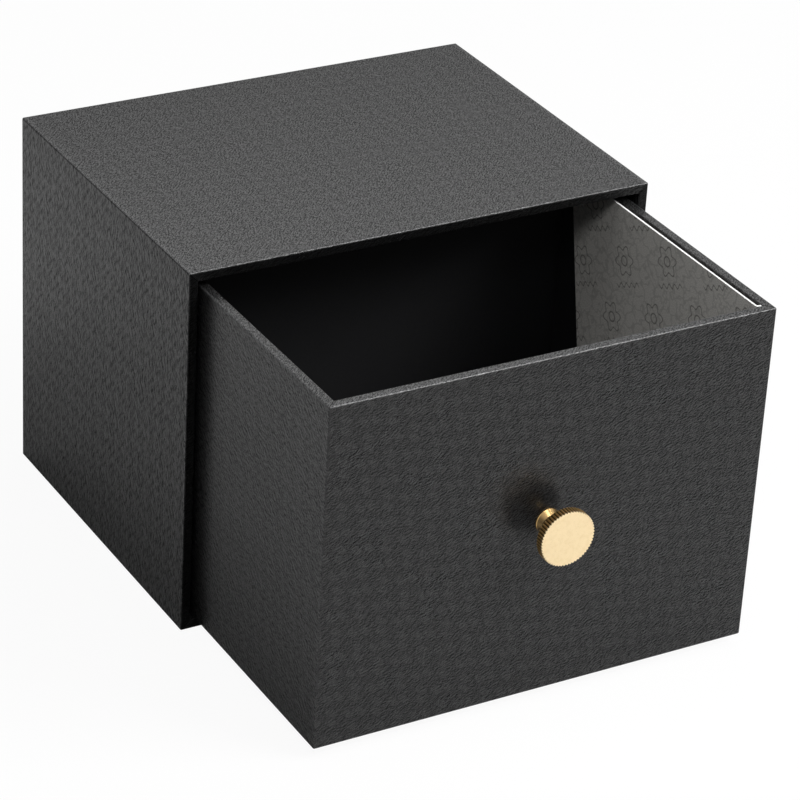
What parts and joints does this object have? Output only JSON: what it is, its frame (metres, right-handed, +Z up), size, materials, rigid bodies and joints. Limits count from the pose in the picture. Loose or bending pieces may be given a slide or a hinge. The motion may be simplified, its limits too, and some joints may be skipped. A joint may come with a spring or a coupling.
{
  "type": "drawer photo box",
  "caption": "Black paper-covered rigid-board box with one pull-out drawer, a turned knurled knob and a pale side card, for storing standing photo prints.",
  "frame": {"origin": "middle of the case's footprint, on the surface it stands on", "axes": "+Z up, the mouth and the drawer's front face -Y and the drawer opens towards -Y, +X to the right when looking at the back from the front"},
  "size_m": [0.172, 0.2268, 0.133],
  "materials": {
    "greyboard": "raw grey solid board",
    "embossed_paper": "black covering paper with a fine plaited emboss, satin",
    "lining_paper": "smooth black lining paper, matt",
    "printed_card": "pale grey printed card with a white core, matt",
    "gold_brass": "polished gold-coloured brass",
    "plated_steel": "zinc-plated steel"
  },
  "bodies": {
    "case": {"case_top_board": "greyboard", "case_bottom_board": "greyboard", "case_left_board": "greyboard", "case_right_board": "greyboard", "case_back_board": "greyboard", "case_cover_paper": "embossed_paper", "case_back_paper": "embossed_paper", "case_base_paper": "lining_paper", "case_lining_paper": "lining_paper"},
    "drawer": {"drawer_front_board": "greyboard", "drawer_back_board": "greyboard", "drawer_left_board": "greyboard", "drawer_right_board": "greyboard", "drawer_floor_board": "greyboard", "drawer_cover_paper": "embossed_paper", "drawer_base_paper": "lining_paper", "drawer_wall_lining": "lining_paper", "drawer_floor_lining": "lining_paper", "side_card": "printed_card", "knob": "gold_brass", "knob_washer": "plated_steel", "knob_screw": "plated_steel"}
  },
  "joints": [
    {"name": "drawer_slide", "type": "slide", "parent": "case", "child": "drawer", "axis": [0, -1, 0], "range_m": [-0.0844, 0.0516]}
  ]
}
